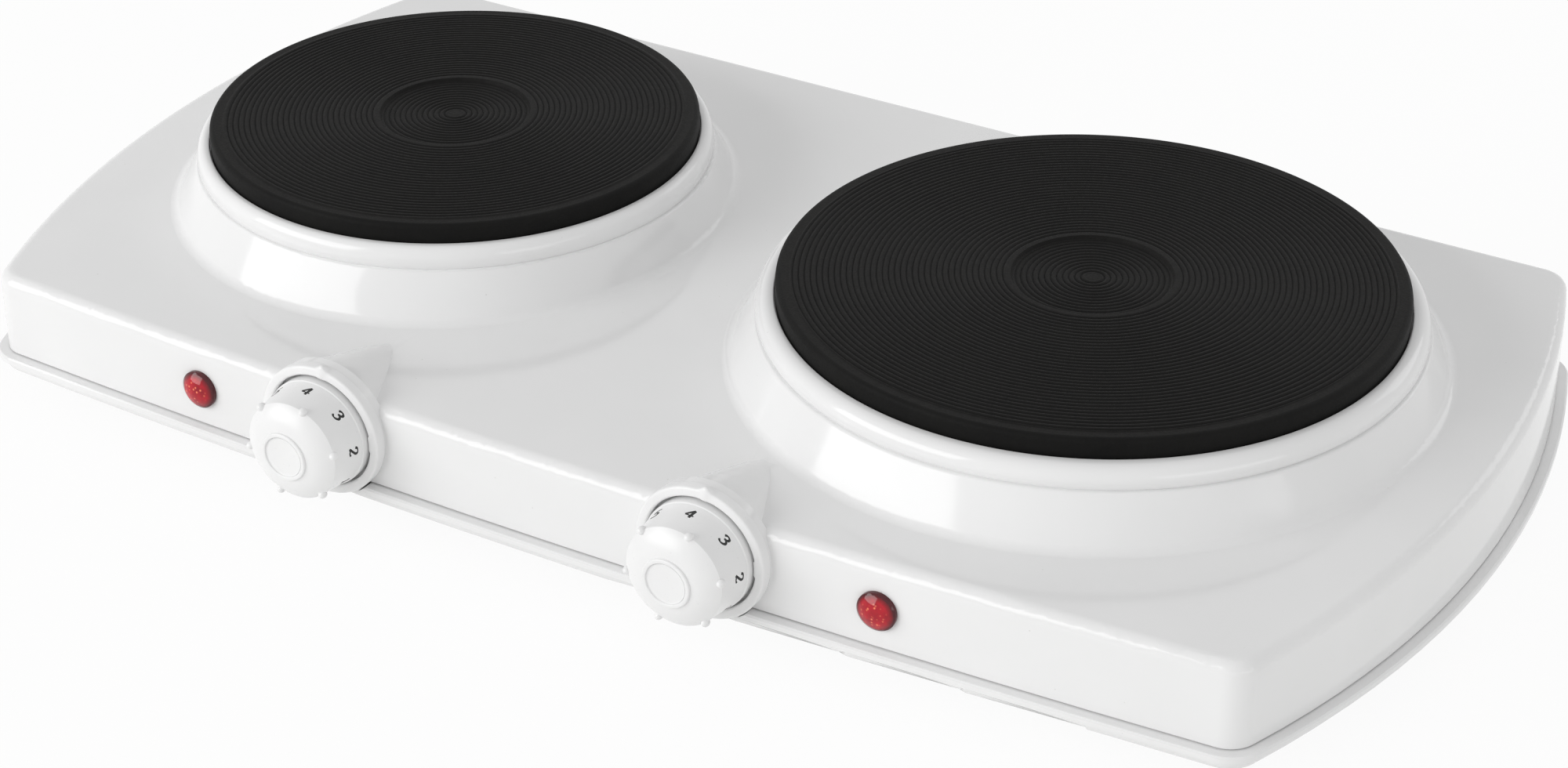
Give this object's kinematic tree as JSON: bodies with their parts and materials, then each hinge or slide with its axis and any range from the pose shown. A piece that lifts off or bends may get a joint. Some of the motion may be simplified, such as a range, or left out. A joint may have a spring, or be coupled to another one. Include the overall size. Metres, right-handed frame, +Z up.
{
  "type": "electric hot plate",
  "caption": "Free-standing electric hot plate: a large and a small grooved cast iron plate on a white pressed steel housing, with dial knobs and red pilot lamps in front.",
  "frame": {"origin": "on the table under the middle of the object's box", "axes": "+Z up, +X to the right seen from the front, -Y towards the user and the dials"},
  "size_m": [0.4714, 0.268, 0.07],
  "materials": {
    "white_enamel": "gloss white enamel on pressed steel",
    "cast_iron": "matte black heat resistant coating on turned cast iron",
    "white_plastic": "satin gloss moulded white plastic",
    "red_lens": "translucent red moulded lens",
    "bulb_glass": "clear glass neon bulb",
    "foot_rubber": "matte moulded rubber",
    "ceramic": "unglazed steatite ceramic",
    "black_plastic": "matte moulded black plastic",
    "brass": "turned brass",
    "lead_sleeve": "braided glass fibre sleeve",
    "element_sheath": "oxidised resistance element",
    "plated_sheet": "aluminium coated steel sheet",
    "steel": "zinc plated steel"
  },
  "bodies": {
    "base": {"back_left_foot": "foot_rubber", "back_right_foot": "foot_rubber", "base_tray": "white_enamel", "control_screws": "steel", "cord_gland": "black_plastic", "earth_screw": "steel", "foot_screws": "steel", "front_left_foot": "foot_rubber", "front_right_foot": "foot_rubber", "gland_nut": "black_plastic", "housing": "white_enamel", "large_bridge_nut": "steel", "large_clamp_bridge": "plated_sheet", "large_element": "element_sheath", "large_heat_shield": "plated_sheet", "large_plate": "cast_iron", "large_plate_stud": "steel", "large_terminal_block": "ceramic", "large_tray_nut": "steel", "large_trim_ring": "white_enamel", "left_bezel": "white_plastic", "left_bushing": "brass", "left_feed_lead": "lead_sleeve", "left_lamp_clip": "steel", "left_lamp_lens": "red_lens", "left_neon_bulb": "bulb_glass", "left_plate_lead": "lead_sleeve", "left_terminal_tabs": "brass", "left_thermostat": "ceramic", "mains_terminal_block": "ceramic", "mains_terminal_screws": "steel", "right_bezel": "white_plastic", "right_bushing": "brass", "right_feed_lead": "lead_sleeve", "right_lamp_clip": "steel", "right_lamp_lens": "red_lens", "right_neon_bulb": "bulb_glass", "right_plate_lead": "lead_sleeve", "right_terminal_tabs": "brass", "right_thermostat": "ceramic", "small_bridge_nut": "steel", "small_clamp_bridge": "plated_sheet", "small_element": "element_sheath", "small_heat_shield": "plated_sheet", "small_plate": "cast_iron", "small_plate_stud": "steel", "small_terminal_block": "ceramic", "small_tray_nut": "steel", "small_trim_ring": "white_enamel"},
    "left_control": {"left_dial_shaft": "steel", "left_knob": "white_plastic", "left_knob_clip": "steel"},
    "right_control": {"right_dial_shaft": "steel", "right_knob": "white_plastic", "right_knob_clip": "steel"}
  },
  "joints": [
    {"name": "left_dial_turn", "type": "hinge", "parent": "base", "child": "left_control", "pos_m": [-0.0785, -0.1128, 0.0305], "axis": [0, 1, 0], "range_deg": [-167, 45.5]},
    {"name": "right_dial_turn", "type": "hinge", "parent": "base", "child": "right_control", "pos_m": [0.0515, -0.1128, 0.0305], "axis": [0, 1, 0], "range_deg": [-167, 45.5]}
  ]
}
